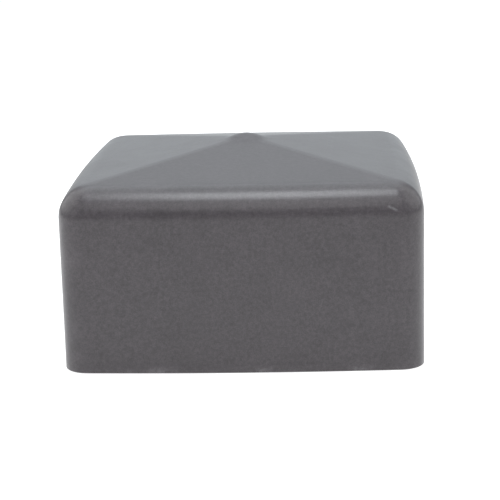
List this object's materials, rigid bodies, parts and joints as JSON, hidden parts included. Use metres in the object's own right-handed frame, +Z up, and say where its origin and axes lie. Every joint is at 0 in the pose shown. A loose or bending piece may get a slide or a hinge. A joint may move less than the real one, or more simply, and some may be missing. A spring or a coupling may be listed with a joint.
{
  "type": "fence post cap",
  "caption": "Square push-on fence post cap: a deep plain skirt under a low pyramid roof with soft hips and a small rounded apex nub, gripping the post with rubber strips.",
  "frame": {"origin": "centre of the rim's underside, on the cap's axis, so the cap stands on z = 0", "axes": "+Z up along the cap's axis through the apex nub; the walls face +X, -X, +Y and -Y, and the wall called front faces -Y"},
  "size_m": [0.108, 0.108, 0.0617],
  "materials": {
    "shell_plastic": "satin moulded, fine even grain",
    "grip_rubber": "matte moulded rubber"
  },
  "bodies": {
    "root": {"cap_shell": "shell_plastic", "grip_strip_front_a": "grip_rubber", "grip_strip_front_b": "grip_rubber", "grip_strip_right_a": "grip_rubber", "grip_strip_right_b": "grip_rubber", "grip_strip_back_a": "grip_rubber", "grip_strip_back_b": "grip_rubber", "grip_strip_left_a": "grip_rubber", "grip_strip_left_b": "grip_rubber"}
  },
  "joints": []
}
